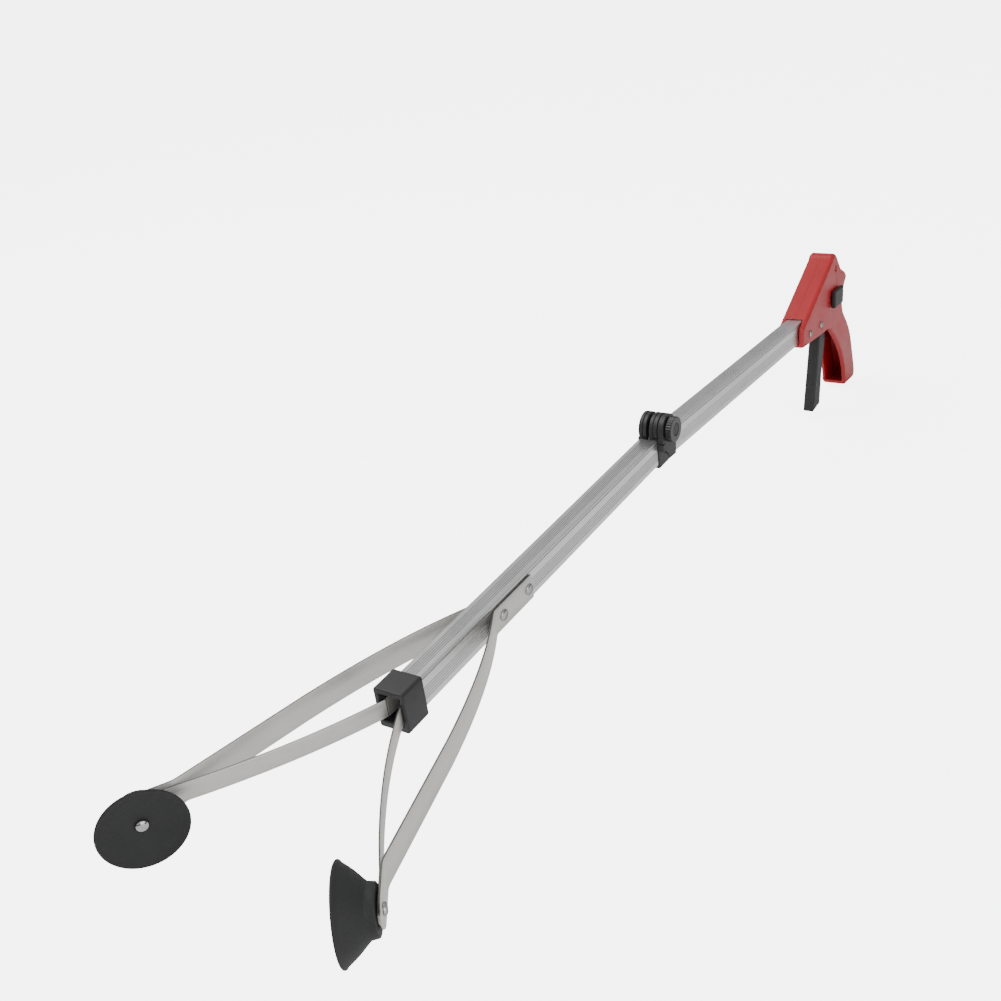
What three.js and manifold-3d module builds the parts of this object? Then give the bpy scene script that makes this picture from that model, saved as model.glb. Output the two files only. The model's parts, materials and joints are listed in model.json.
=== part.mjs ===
// Folding reacher grabber with two rubber suction-cup jaws.
//
// Frame, in millimetres: the origin is on the underside of the front tube, +X points forward to
// the jaws, +Z is up, and +Y is the left side, where the hinge knob and the jaw lock sit.
// The two halves of the pole meet at a fold hinge whose pin runs along Y. The rear half hangs
// down from the front half by a few degrees, which is the hinge's open stop.

import * as THREE from 'three';
import { mergeVertices } from 'three/addons/utils/BufferGeometryUtils.js';
import Module from 'manifold-3d';

const wasm = await Module();
wasm.setup();

// ---------------------------------------------------------------- driving dimensions

const GAP = 0.3;                     // clearance between neighbouring pieces

const TUBE_WIDTH = 12.7;             // along Y
const TUBE_HEIGHT = 18;              // along Z
const TUBE_WALL = 1.1;
const TUBE_CORNER = 1.2;             // outer corner radius
const AXIS_Z = TUBE_HEIGHT / 2;      // height of the front tube's axis

const HINGE_X = -60;                 // fold hinge pin
const HINGE_Z = 22.5;
const HINGE_SAG = THREE.MathUtils.degToRad(4.43);
const REAR_AXIS_DROP = 14.3;         // rear tube's axis below the pin
const FRONT_AXIS_DROP = HINGE_Z - AXIS_Z;

const FRONT_TUBE_BACK = -50;
const NOSE_X = 214.5;                // rear face of the nose cap

// The two kinds of spring-steel strip. Their heights are along Z, and each has a round end whose
// centre lies a little forward of the cup rivet.
const ARM = { thickness: 0.8, height: 14.7, endCentre: 0.3 };
const INNER = { thickness: 0.6, height: 10.4, endCentre: 1.2 };
const STRIP_Z = -1.15;               // middle of all the strips, from the tube's axis
const TAB_ANGLE = THREE.MathUtils.degToRad(34);
const CUP_RIVET_X = 115.4;           // from the nose cap's rear face
const CUP_RIVET_Y = 68.7;
const FLEX_GAP = 0.8;                // between the segments of a flexing strip
const ARM_FLEX_X = [-20, 55];        // where the arm's two flex pivots lie, from the nose cap

const CUP_RIM_RADIUS = 20.6;
const CUP_NECK_RADIUS = 10.7;
const CUP_DEPTH = 15;
const CUP_FACE_HEIGHT = 11.5;        // floor of the cup's hollow, from the back of its neck

const RIVET_SHANK = 1.6;
const RIVET_HOLE = RIVET_SHANK + GAP;

const HANDLE_X = -250.6;             // handle's front face, from the hinge pin
const HANDLE_HALF_WIDTH = 10.6;
const SHELL_WALL = 3;
const REAR_TUBE_START = -17.6;       // from the hinge pin
const TUBE_IN_HANDLE = 50;

const TRIGGER_HALF_WIDTH = 4.6;
const TRIGGER_PIVOT = [-78.8, 33.8]; // x and z in the handle's frame
const TRIGGER_PIN_RADIUS = 2;
const LEVER_RADIUS = 5.4;             // trigger round its pivot
const CABLE_RADIUS = 0.8;
const CABLE_HEIGHT = -2.2;           // cable below the tube axis in the handle
const NIPPLE_X = -71;                // where the cable hooks into the trigger
const NIPPLE_RADIUS = 1.9;

const KNUCKLE_RADIUS = 9.8;
const HINGE_PIN_RADIUS = 2;
const FITTING_HALF_WIDTH = 7.2;

// ---------------------------------------------------------------- materials

function material(color, roughness, metalness) {
  return new THREE.MeshStandardMaterial({ color, roughness, metalness });
}

const aluminium = material(0xb6b6b4, 0.38, 0.9);
const springSteel = material(0xbcb9b3, 0.35, 0.9);
const rivetSteel = material(0xd8d8d6, 0.18, 1);
const cableSteel = material(0x9a9a98, 0.45, 0.9);
const blackPlastic = material(0x3c3c3e, 0.6, 0);
const blackRubber = material(0x323433, 0.85, 0);
const redPlastic = material(0xc83d3f, 0.42, 0);

// ---------------------------------------------------------------- solids and booleans

function toSolid(geometry) {
  const bare = geometry.clone();
  bare.deleteAttribute('normal');
  bare.deleteAttribute('uv');
  const merged = mergeVertices(bare, 1e-4);
  return new wasm.Manifold(new wasm.Mesh({
    numProp: 3,
    vertProperties: new Float32Array(merged.attributes.position.array),
    triVerts: new Uint32Array(merged.index.array),
  }));
}

function toGeometry(solid) {
  const mesh = solid.getMesh();
  const geometry = new THREE.BufferGeometry();
  geometry.setAttribute('position', new THREE.BufferAttribute(mesh.vertProperties, 3));
  geometry.setIndex(new THREE.BufferAttribute(mesh.triVerts, 1));
  geometry.computeVertexNormals();
  return geometry;
}

function join(...geometries) {
  return toGeometry(geometries.map(toSolid).reduce((sum, next) => sum.add(next)));
}

function cut(geometry, ...tools) {
  const start = toSolid(geometry);
  return toGeometry(tools.map(toSolid).reduce((rest, tool) => rest.subtract(tool), start));
}

function common(geometry, other) {
  return toGeometry(toSolid(geometry).intersect(toSolid(other)));
}

// A copy on the other side of the XZ plane, with its faces still pointing out.
function mirrored(geometry) {
  const copy = geometry.index ? geometry.toNonIndexed() : geometry.clone();
  const position = copy.attributes.position;
  for (let i = 0; i < position.count; i += 3) {
    const first = new THREE.Vector3().fromBufferAttribute(position, i);
    const last = new THREE.Vector3().fromBufferAttribute(position, i + 2);
    position.setXYZ(i, last.x, last.y, last.z);
    position.setXYZ(i + 2, first.x, first.y, first.z);
  }
  copy.scale(1, -1, 1);
  copy.computeVertexNormals();
  return copy;
}

function box(x, y, z) {
  const geometry = new THREE.BoxGeometry(x[1] - x[0], y[1] - y[0], z[1] - z[0]);
  return geometry.translate((x[0] + x[1]) / 2, (y[0] + y[1]) / 2, (z[0] + z[1]) / 2);
}

function vector(x, y, z) {
  return new THREE.Vector3(x, y, z);
}

function rod(from, to, radius, segments = 20) {
  const span = to.clone().sub(from);
  const geometry = new THREE.CylinderGeometry(radius, radius, span.length(), segments);
  const turn = new THREE.Quaternion().setFromUnitVectors(vector(0, 1, 0), span.normalize());
  geometry.applyQuaternion(turn);
  const middle = from.clone().add(to).multiplyScalar(0.5);
  return geometry.translate(middle.x, middle.y, middle.z);
}

// A cylinder along Y, centred on a point of the XZ plane.
function crossRod(x, z, radius, y, segments = 24) {
  return rod(vector(x, y[0], z), vector(x, y[1], z), radius, segments);
}

const AXES = [vector(1, 0, 0), vector(0, 1, 0), vector(0, 0, 1)];

// A side-view shape (x, z) given a thickness along Y.
function plate(shape, y, bevel = 0) {
  const geometry = new THREE.ExtrudeGeometry(shape, {
    depth: y[1] - y[0] - 2 * bevel,
    curveSegments: 6,
    bevelEnabled: bevel > 0,
    bevelThickness: bevel,
    bevelSize: bevel,
    bevelOffset: -bevel,
    bevelSegments: 1,
  });
  const basis = new THREE.Matrix4().makeBasis(AXES[0], AXES[2], AXES[1].clone().negate());
  return geometry.applyMatrix4(basis).translate(0, y[1] - bevel, 0);
}

// A cross-section (y, z) drawn out along X.
function beam(shape, x) {
  const geometry = new THREE.ExtrudeGeometry(shape, { depth: x[1] - x[0], bevelEnabled: false });
  const basis = new THREE.Matrix4().makeBasis(AXES[1], AXES[2], AXES[0]);
  return geometry.applyMatrix4(basis).translate(x[0], 0, 0);
}

// A plan-view shape (x, y) drawn up along Z.
function slab(shape, z) {
  const depth = z[1] - z[0];
  const geometry = new THREE.ExtrudeGeometry(shape, { depth, curveSegments: 8, bevelEnabled: false });
  return geometry.translate(0, 0, z[0]);
}

function polygon(...points) {
  return new THREE.Shape(points.map(([u, v]) => new THREE.Vector2(u, v)));
}

function node(name, geometry, look) {
  const mesh = new THREE.Mesh(geometry, look);
  mesh.name = name;
  return mesh;
}

// ---------------------------------------------------------------- tubes

// Adds one straight side of the tube's outline, with fine grooves sunk at the given distances
// from the middle of the side.
function groovedSide(outline, start, end, grooves) {
  const grooveHalf = 0.3;
  const depth = 0.4;
  const along = end.clone().sub(start).normalize();
  const inward = new THREE.Vector2(-along.y, along.x);
  const middle = start.clone().add(end).multiplyScalar(0.5);
  outline.push(start);
  for (const distance of grooves) {
    for (const [offset, sink] of [[-1, 0], [0, depth], [1, 0]]) {
      const place = middle.clone().addScaledVector(along, distance + offset * grooveHalf);
      outline.push(place.addScaledVector(inward, sink));
    }
  }
  outline.push(end);
}

function cornerArc(outline, centre, startAngle) {
  const steps = 4;
  for (let i = 1; i < steps; i += 1) {
    const angle = startAngle + (i / steps) * (Math.PI / 2);
    outline.push(new THREE.Vector2(
      centre.x + TUBE_CORNER * Math.cos(angle),
      centre.y + TUBE_CORNER * Math.sin(angle),
    ));
  }
}

// The tube's section about its own axis: a rounded oblong with grooved faces and a plain bore.
function tubeSection() {
  const halfWidth = TUBE_WIDTH / 2;
  const halfHeight = TUBE_HEIGHT / 2;
  const flatY = halfWidth - TUBE_CORNER;
  const flatZ = halfHeight - TUBE_CORNER;
  const topGrooves = [-2.6, -1.3, 0, 1.3, 2.6];
  const sideGrooves = [-4.5, -3, -1.5, 0, 1.5, 7];
  const outline = [];
  groovedSide(outline, new THREE.Vector2(halfWidth, -flatZ), new THREE.Vector2(halfWidth, flatZ),
    sideGrooves);
  cornerArc(outline, new THREE.Vector2(flatY, flatZ), 0);
  groovedSide(outline, new THREE.Vector2(flatY, halfHeight), new THREE.Vector2(-flatY, halfHeight),
    topGrooves);
  cornerArc(outline, new THREE.Vector2(-flatY, flatZ), Math.PI / 2);
  groovedSide(outline, new THREE.Vector2(-halfWidth, flatZ), new THREE.Vector2(-halfWidth, -flatZ),
    sideGrooves.map((distance) => -distance).reverse());
  cornerArc(outline, new THREE.Vector2(-flatY, -flatZ), Math.PI);
  groovedSide(outline, new THREE.Vector2(-flatY, -halfHeight), new THREE.Vector2(flatY, -halfHeight),
    []);
  cornerArc(outline, new THREE.Vector2(flatY, -flatZ), 1.5 * Math.PI);
  const section = new THREE.Shape(outline);
  const boreY = halfWidth - TUBE_WALL;
  const boreZ = halfHeight - TUBE_WALL;
  section.holes.push(new THREE.Path([
    new THREE.Vector2(-boreY, -boreZ),
    new THREE.Vector2(-boreY, boreZ),
    new THREE.Vector2(boreY, boreZ),
    new THREE.Vector2(boreY, -boreZ),
  ]));
  return section;
}

// A rivet hole through both sides of whatever stands on the tube at that place.
function rivetHole(x, z) {
  const reach = HANDLE_HALF_WIDTH + 2;
  return crossRod(x, z, RIVET_HOLE, [-reach, reach], 12);
}

// ---------------------------------------------------------------- rivets

// A domed rivet along +Y: its head stands on y = 0 and its tail is upset below the grip.
function rivet({ head, dome, shank = RIVET_SHANK, grip, tail, tailLength }) {
  const steps = 4;
  const profile = [new THREE.Vector2(0, -grip - tailLength)];
  profile.push(new THREE.Vector2(tail, -grip - tailLength));
  profile.push(new THREE.Vector2(tail, -grip));
  profile.push(new THREE.Vector2(shank, -grip));
  profile.push(new THREE.Vector2(shank, 0));
  profile.push(new THREE.Vector2(head, 0));
  for (let i = 1; i <= steps; i += 1) {
    const angle = (i / steps) * (Math.PI / 2);
    const radius = i === steps ? 0 : head * Math.cos(angle);
    profile.push(new THREE.Vector2(radius, dome * Math.sin(angle)));
  }
  return new THREE.LatheGeometry(profile, 14);
}

// ---------------------------------------------------------------- strips

// The plan outline of a bent strip: its centre line moved half a thickness to each side.
function stripOutline(line, thickness) {
  const offsets = line.map((point, i) => {
    const before = line[Math.max(i - 1, 0)];
    const after = line[Math.min(i + 1, line.length - 1)];
    const inDirection = point.clone().sub(before).normalize();
    const outDirection = after.clone().sub(point).normalize();
    const tangent = inDirection.add(outDirection).normalize();
    return new THREE.Vector2(-tangent.y, tangent.x).multiplyScalar(thickness / 2);
  });
  const left = line.map((point, i) => point.clone().add(offsets[i]));
  const right = line.map((point, i) => point.clone().sub(offsets[i]));
  return new THREE.Shape([...right, ...left.reverse()]);
}

function strip(line, kind) {
  const z = [STRIP_Z - kind.height / 2, STRIP_Z + kind.height / 2];
  return slab(stripOutline(line, kind.thickness), z);
}

const TAB_FORWARD = new THREE.Vector2(Math.cos(TAB_ANGLE), Math.sin(TAB_ANGLE));
const CUP_FACING = new THREE.Vector2(Math.sin(TAB_ANGLE), -Math.cos(TAB_ANGLE));
const CUP_RIVET = new THREE.Vector2(CUP_RIVET_X, CUP_RIVET_Y);

// A point near the cup rivet: along the tab, and inward from the arm's own centre line.
function tabPoint(along, inward) {
  return CUP_RIVET.clone().addScaledVector(TAB_FORWARD, along).addScaledVector(CUP_FACING, inward);
}

// A rod along the cup's axis, between two depths in from the arm's centre line.
function cupAxisRod(along, inward, radius, segments) {
  const [outer, inner] = inward.map((depth) => tabPoint(along, depth));
  const [from, to] = [outer, inner].map((end) => vector(end.x, end.y, STRIP_Z));
  return rod(from, to, radius, segments);
}

// A strip that ends in a flat round end on the cup rivet, drilled for it.
function stripOnCupRivet(line, inward, kind) {
  const body = strip([...line, tabPoint(kind.endCentre, inward)], kind);
  const half = kind.thickness / 2;
  const end = cupAxisRod(kind.endCentre, [inward - half, inward + half], kind.height / 2, 28);
  const hole = cupAxisRod(0, [inward - 2, inward + 2], RIVET_HOLE, 14);
  return cut(join(body, end), hole);
}

// Centre line of the outer arm in plan, as a function of x from the nose cap: flat on the tube,
// sprung out in a curve, then straight to the tab.
const ARM_ROOT_Y = TUBE_WIDTH / 2 + GAP + ARM.thickness / 2;
const ARM_BACK_X = -103.8;
const ARM_BEND = new THREE.Vector2(-65.8, ARM_ROOT_Y);
const ARM_CONTROL = new THREE.Vector2(-25.5, 28.4);
const ARM_STRAIGHT = new THREE.Vector2(30, 42.3);
const ARM_TAB_BEND = tabPoint(-18, 0);
const armCurve = new THREE.QuadraticBezierCurve(ARM_BEND, ARM_CONTROL, ARM_STRAIGHT);
const armStraight = new THREE.LineCurve(ARM_STRAIGHT, ARM_TAB_BEND);

function armPointAt(x) {
  if (x > ARM_STRAIGHT.x) {
    return armStraight.getPoint((x - ARM_STRAIGHT.x) / (ARM_TAB_BEND.x - ARM_STRAIGHT.x));
  }
  let low = 0;
  let high = 1;
  while (high - low > 1e-6) {
    const middle = (low + high) / 2;
    if (armCurve.getPoint(middle).x < x) low = middle;
    else high = middle;
  }
  return armCurve.getPoint(low);
}

function armLine(fromX, toX, steps) {
  const line = [];
  for (let i = 0; i <= steps; i += 1) {
    line.push(armPointAt(fromX + ((toX - fromX) * i) / steps));
  }
  return line;
}

const ARM_RIVETS_X = [-99.7, -73.8];

function armRoot() {
  const end = ARM_FLEX_X[0] - FLEX_GAP / 2;
  const line = [new THREE.Vector2(ARM_BACK_X, ARM_ROOT_Y), ...armLine(ARM_BEND.x, end, 6)];
  return cut(strip(line, ARM), ...ARM_RIVETS_X.map((x) => rivetHole(x, STRIP_Z)));
}

function armMiddle() {
  const start = ARM_FLEX_X[0] + FLEX_GAP / 2;
  const end = ARM_FLEX_X[1] - FLEX_GAP / 2;
  return strip([...armLine(start, ARM_STRAIGHT.x, 6), armPointAt(end)], ARM);
}

function armTip() {
  const start = armPointAt(ARM_FLEX_X[1] + FLEX_GAP / 2);
  return stripOnCupRivet([start, ARM_TAB_BEND], 0, ARM);
}

const INNER_LAYER = (ARM.thickness + INNER.thickness) / 2 + GAP;   // inner strip from the tab
const CUP_LAYER = INNER_LAYER + INNER.thickness / 2 + GAP;         // back of the cup's neck

// The inner strip runs from the mouth of the nose cap to the cup rivet in a shallow curve.
const INNER_REAR = new THREE.Vector2(14, 4.7);
const INNER_CONTROL = new THREE.Vector2(59.2, 24.3);
const INNER_FLEX = -14.5;            // where the inner strip bends, along the tab from the cup rivet

function innerStrip() {
  const front = tabPoint(INNER_FLEX - FLEX_GAP / 2, INNER_LAYER);
  const curve = new THREE.QuadraticBezierCurve(INNER_REAR, INNER_CONTROL, front);
  return strip(curve.getPoints(10), INNER);
}

// The flat end of the inner strip, held between the tab and the cup.
function innerStripEnd() {
  return stripOnCupRivet([tabPoint(INNER_FLEX + FLEX_GAP / 2, INNER_LAYER)], INNER_LAYER, INNER);
}

// ---------------------------------------------------------------- suction cup

function cup() {
  const hole = RIVET_HOLE + 0.2;
  const wall = [
    [hole, 0],
    [CUP_NECK_RADIUS - 0.5, 0],
    [CUP_NECK_RADIUS, 0.5],
    [CUP_NECK_RADIUS + 0.5, 3.8],
    [CUP_NECK_RADIUS + 3.7, 7],
    [CUP_NECK_RADIUS + 6.6, 10.3],
    [CUP_RIM_RADIUS - 1.1, 13.4],
    [CUP_RIM_RADIUS, CUP_DEPTH - 0.4],
    [CUP_RIM_RADIUS - 0.3, CUP_DEPTH],
    [CUP_RIM_RADIUS - 4.6, CUP_DEPTH - 1.1],
    [9, CUP_FACE_HEIGHT + 0.5],
    [4.2, CUP_FACE_HEIGHT],
    [hole, CUP_FACE_HEIGHT],
    [hole, 0],
  ];
  const geometry = new THREE.LatheGeometry(wall.map(([r, h]) => new THREE.Vector2(r, h)), 30);
  return placeOnTab(geometry, CUP_LAYER);
}

// Turns a piece made along +Y to face along the cup's axis, at a depth in from the tab.
function placeOnTab(geometry, inward) {
  const facing = vector(CUP_FACING.x, CUP_FACING.y, 0);
  geometry.applyQuaternion(new THREE.Quaternion().setFromUnitVectors(vector(0, 1, 0), facing));
  const place = tabPoint(0, inward);
  return geometry.translate(place.x, place.y, STRIP_Z);
}

function cupRivet() {
  const headSeat = CUP_LAYER + CUP_FACE_HEIGHT + GAP;
  const tailSeat = ARM.thickness / 2 + GAP;
  const geometry = rivet({
    head: 3.15,
    dome: 1.7,
    grip: headSeat + tailSeat,
    tail: 2.6,
    tailLength: 1.1,
  });
  return placeOnTab(geometry, headSeat);
}

// ---------------------------------------------------------------- nose cap

const CAP_LENGTH = 16.4;
const CAP_HALF_WIDTH = 8.9;
const CAP_HALF_HEIGHT = 11.55;
const CAP_BEVEL = 0.9;
const CAP_REAR_WALL = 4;             // behind the mouth, round the throat the strips pass through
const THROAT_HALF_WIDTH = 5.2;
const MOUTH_HALF_WIDTH = 6.6;
const MOUTH_Z = [-7.5, 8.4];
const TONGUE_LENGTH = 13;            // the two tongues that hold the cap in the tube
const TONGUE_HALF_WIDTH = TUBE_WIDTH / 2 - TUBE_WALL - GAP;

// A plan that starts at the throat's width and flares to the mouth's at the front.
function mouthPlan() {
  const front = CAP_LENGTH + 1;
  const plan = new THREE.Shape();
  plan.moveTo(CAP_REAR_WALL, -THROAT_HALF_WIDTH);
  plan.quadraticCurveTo(CAP_LENGTH - 4, -THROAT_HALF_WIDTH, front, -MOUTH_HALF_WIDTH);
  plan.lineTo(front, MOUTH_HALF_WIDTH);
  plan.quadraticCurveTo(CAP_LENGTH - 4, THROAT_HALF_WIDTH, CAP_REAR_WALL, THROAT_HALF_WIDTH);
  plan.closePath();
  return plan;
}

function noseCap() {
  const innerY = CAP_HALF_WIDTH - CAP_BEVEL;
  const innerZ = CAP_HALF_HEIGHT - CAP_BEVEL;
  const face = polygon(
    [-innerY, -CAP_HALF_HEIGHT],
    [innerY, -CAP_HALF_HEIGHT],
    [CAP_HALF_WIDTH, -innerZ],
    [CAP_HALF_WIDTH, innerZ],
    [innerY, CAP_HALF_HEIGHT],
    [-innerY, CAP_HALF_HEIGHT],
    [-CAP_HALF_WIDTH, innerZ],
    [-CAP_HALF_WIDTH, -innerZ],
  );
  const throatZ = [STRIP_Z - INNER.height / 2 - GAP, STRIP_Z + INNER.height / 2 + GAP];
  const throat = box([-1, CAP_REAR_WALL + 1], [-THROAT_HALF_WIDTH, THROAT_HALF_WIDTH], throatZ);
  const boreZ = TUBE_HEIGHT / 2 - TUBE_WALL - GAP;
  const tongues = [[-boreZ, throatZ[0]], [throatZ[1], boreZ]].map((z) => (
    box([-TONGUE_LENGTH, 1], [-TONGUE_HALF_WIDTH, TONGUE_HALF_WIDTH], z)
  ));
  return cut(join(beam(face, [0, CAP_LENGTH]), ...tongues), throat, slab(mouthPlan(), MOUTH_Z));
}

// ---------------------------------------------------------------- pull line in the front tube

const CLAMP_X = [-34, -20];
const CLAMP_HALF_WIDTH = 2;
const CLAMP_HALF_HEIGHT = 4;
const CLAMP_SOCKET_DEPTH = 5;        // how far the cable's end goes in
const CLAMP_RIVET = { x: -25, shank: 1.5 };
const TAIL_FRONT_X = 13.3;

function clampRivetHole() {
  return crossRod(CLAMP_RIVET.x, STRIP_Z, CLAMP_RIVET.shank + GAP, [-8, 8], 12);
}

function stripTail() {
  const innerY = CLAMP_HALF_WIDTH + GAP + INNER.thickness / 2;
  const line = [[CLAMP_X[0] + 1, innerY], [-8, innerY], [2, 4], [8, 4.4], [TAIL_FRONT_X, 4.6]];
  return cut(strip(line.map(([x, y]) => new THREE.Vector2(x, y)), INNER), clampRivetHole());
}

function stripClamp() {
  const block = box(
    CLAMP_X,
    [-CLAMP_HALF_WIDTH, CLAMP_HALF_WIDTH],
    [-CLAMP_HALF_HEIGHT, CLAMP_HALF_HEIGHT],
  );
  const socketEnds = [CLAMP_X[0] - 1, CLAMP_X[0] + CLAMP_SOCKET_DEPTH];
  const [from, to] = socketEnds.map((x) => vector(x, 0, 0));
  return cut(block, rod(from, to, CABLE_RADIUS + GAP, 16), clampRivetHole());
}

function clampRivet() {
  const seat = CLAMP_HALF_WIDTH + INNER.thickness + 2 * GAP + 0.1;
  const geometry = rivet({
    head: 2.8,
    dome: 1,
    shank: CLAMP_RIVET.shank,
    grip: 2 * seat,
    tail: 2.6,
    tailLength: 0.8,
  });
  return geometry.translate(CLAMP_RIVET.x, seat, STRIP_Z);
}

// ---------------------------------------------------------------- fold hinge

// Everything here is measured from the hinge pin, x forward and z up, in the front half's axes
// for the front fitting and in the rear half's axes for the rear one.

const KNUCKLES = {
  front: [[-6.35, -3.85], [0.95, 3.35]],
  rear: [[-3.55, -1.15], [3.65, 6.35]],
};
const KNUCKLE_WEB_Z = [-7, -2.5];    // webs behind the knuckles, high enough to clear the seam
const LOCK_RING_Y = [6.9, 10.5];
const RING_ROOT = { x: 6.3, y: 4, z: [-12.2, -7.7] };   // ties the lock ring to its fitting
const CABLE_SLOT_Y = [-1.15, 0.95];
const CABLE_SLOT_MIDDLE = (CABLE_SLOT_Y[0] + CABLE_SLOT_Y[1]) / 2;
const CABLE_SLOT_DEPTH = 4;          // below the tube's axis
const FITTING_PROUD = 0.9;           // how far the fittings stand above the tubes
const FITTING_BEVEL = 0.5;
const PLUG_LENGTH = 22;              // inside each tube
const RIGHT_THROUGH = [-12, 12];     // Y range of a cut through the whole hinge

// The curved seam between the two fittings below the knuckles, from top to bottom.
const SEAM = [[6.1, -7.6], [5.5, -9.8], [2.5, -15.4], [-2.5, -19.3], [-4.5, -23.1], [-4.5, -24.6]];
const SEAM_GAP = 0.45;

// The upper body of a fitting, hollowed for the knuckles, with the plug that fills its tube.
function fittingBody(outline, plugX, axisZ) {
  const block = plate(outline, [-FITTING_HALF_WIDTH, FITTING_HALF_WIDTH], FITTING_BEVEL);
  const clearance = crossRod(0, 0, KNUCKLE_RADIUS + GAP, RIGHT_THROUGH, 28);
  const halfY = TUBE_WIDTH / 2 - TUBE_WALL - GAP;
  const halfZ = TUBE_HEIGHT / 2 - TUBE_WALL - GAP;
  return join(cut(block, clearance), box(plugX, [-halfY, halfY], [axisZ - halfZ, axisZ + halfZ]));
}

// The slot that lets the cable rise over the pin, open at the top.
function cableSlot(x, axisZ) {
  return box(x, CABLE_SLOT_Y, [axisZ - CABLE_SLOT_DEPTH, KNUCKLE_RADIUS + 2]);
}

// A ring round the pin with a web that ties it to a fitting on one side of it.
function knuckle(y, webX) {
  const disc = crossRod(0, 0, KNUCKLE_RADIUS, y, 28);
  return join(disc, box([Math.min(0, webX), Math.max(0, webX)], y, KNUCKLE_WEB_Z));
}

function pinHole() {
  return crossRod(0, 0, HINGE_PIN_RADIUS + GAP, RIGHT_THROUGH, 14);
}

function frontFitting() {
  const axisZ = -FRONT_AXIS_DROP;
  const tubeEnd = FRONT_TUBE_BACK - HINGE_X - GAP;
  const top = axisZ + TUBE_HEIGHT / 2 + FITTING_PROUD;
  const bottom = SEAM[SEAM.length - 1][1];
  const outline = polygon([tubeEnd, bottom], [tubeEnd, top], [SEAM[0][0], top], ...SEAM);
  const ringRoot = box([RING_ROOT.x, tubeEnd], [RING_ROOT.y, LOCK_RING_Y[1]], RING_ROOT.z);
  const shape = join(
    fittingBody(outline, [tubeEnd - 0.5, tubeEnd + PLUG_LENGTH], axisZ),
    ...KNUCKLES.front.map((y) => knuckle(y, tubeEnd)),
    knuckle(LOCK_RING_Y, tubeEnd),
    ringRoot,
  );
  const stemBore = crossRod(0, 0, KNOB_STEM_RADIUS + GAP, [LOCK_RING_Y[0] - 0.2, 12], 24);
  return cut(shape, cableSlot([-12, tubeEnd + PLUG_LENGTH + 3], axisZ), pinHole(), stemBore);
}

function rearFitting() {
  const axisZ = -REAR_AXIS_DROP;
  const tubeEnd = REAR_TUBE_START + GAP;
  const top = axisZ + TUBE_HEIGHT / 2 + FITTING_PROUD;
  // The seam in the rear half's own axes, a clearance behind the front fitting's.
  const seam = SEAM.map(([x, z]) => {
    const turned = new THREE.Vector2(x, z).rotateAround(new THREE.Vector2(0, 0), -HINGE_SAG);
    return [turned.x - SEAM_GAP, turned.y];
  });
  const bottom = seam[seam.length - 1][1];
  const outline = polygon(
    ...seam.slice().reverse(),
    [seam[0][0], top],
    [tubeEnd, top],
    [tubeEnd, bottom],
  );
  const shape = join(
    fittingBody(outline, [tubeEnd - PLUG_LENGTH, tubeEnd + 0.5], axisZ),
    ...KNUCKLES.rear.map((y) => knuckle(y, tubeEnd)),
  );
  const stemBore = crossRod(0, 0, KNOB_STEM_RADIUS + GAP, [KNOB_STEM_Y - GAP, 12], 24);
  return cut(shape, cableSlot([tubeEnd - PLUG_LENGTH - 3, 12], axisZ), pinHole(), stemBore);
}

// ---------------------------------------------------------------- hinge knob, pin and spring

const KNOB_RADIUS = 8.4;
const KNOB_RIDGES = 32;
const KNOB_RIDGE_DEPTH = 0.45;
const KNOB_Y = [11.5, 15.5];
const KNOB_STEM_RADIUS = 4.9;
const KNOB_STEM_Y = 4.4;             // inner end of the stem
const KNOB_FLOOR_Y = 6.6;            // floor of the bore that holds the spring
const KNOB_BORE_RADIUS = 4.1;
const KNOB_CAP_Y = [14.1, 15.3];
const PIN_TAIL = { radius: 3.6, y: [-8.3, -6.65] };    // on the fittings' right side
const PIN_HEAD = { radius: 3.4, y: [12.9, 13.6] };     // in the knob, where the spring pushes

function hingeKnob() {
  const outline = [];
  for (let i = 0; i < KNOB_RIDGES * 2; i += 1) {
    const angle = (i / KNOB_RIDGES) * Math.PI;
    const radius = KNOB_RADIUS - (i % 2) * KNOB_RIDGE_DEPTH;
    outline.push([radius * Math.cos(angle), radius * Math.sin(angle)]);
  }
  const head = plate(polygon(...outline), KNOB_Y);
  const stem = crossRod(0, 0, KNOB_STEM_RADIUS, [KNOB_STEM_Y, KNOB_Y[0] + 1], 24);
  return cut(join(head, stem), crossRod(0, 0, KNOB_BORE_RADIUS, [KNOB_FLOOR_Y, 20], 20), pinHole());
}

function knobCap() {
  return crossRod(0, 0, KNOB_BORE_RADIUS - GAP, KNOB_CAP_Y, 20);
}

function hingePin() {
  return join(
    crossRod(0, 0, HINGE_PIN_RADIUS, [PIN_TAIL.y[0] + 0.5, PIN_HEAD.y[1] - 0.2], 14),
    crossRod(0, 0, PIN_TAIL.radius, PIN_TAIL.y, 20),
    crossRod(0, 0, PIN_HEAD.radius, PIN_HEAD.y, 20),
  );
}

class Helix extends THREE.Curve {
  constructor(radius, start, end, turns) {
    super();
    Object.assign(this, { radius, start, end, turns });
  }

  getPoint(t) {
    const angle = t * this.turns * 2 * Math.PI;
    const y = this.start + (this.end - this.start) * t;
    return vector(this.radius * Math.cos(angle), y, this.radius * Math.sin(angle));
  }
}

function wireSection(radius, sides) {
  const points = [];
  for (let i = 0; i < sides; i += 1) {
    const angle = (i / sides) * 2 * Math.PI;
    points.push([radius * Math.cos(angle), radius * Math.sin(angle)]);
  }
  return polygon(...points);
}

function knobSpring() {
  const wire = 0.35;
  const radius = 3.05;
  const path = new Helix(radius, KNOB_FLOOR_Y + GAP + wire, PIN_HEAD.y[0] - GAP - wire, 4);
  return new THREE.ExtrudeGeometry(wireSection(wire, 5), { steps: 36, extrudePath: path });
}

// The cable's bend over the pin, between the two tubes.
const CABLE_BEND_REACH = 40;

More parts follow.
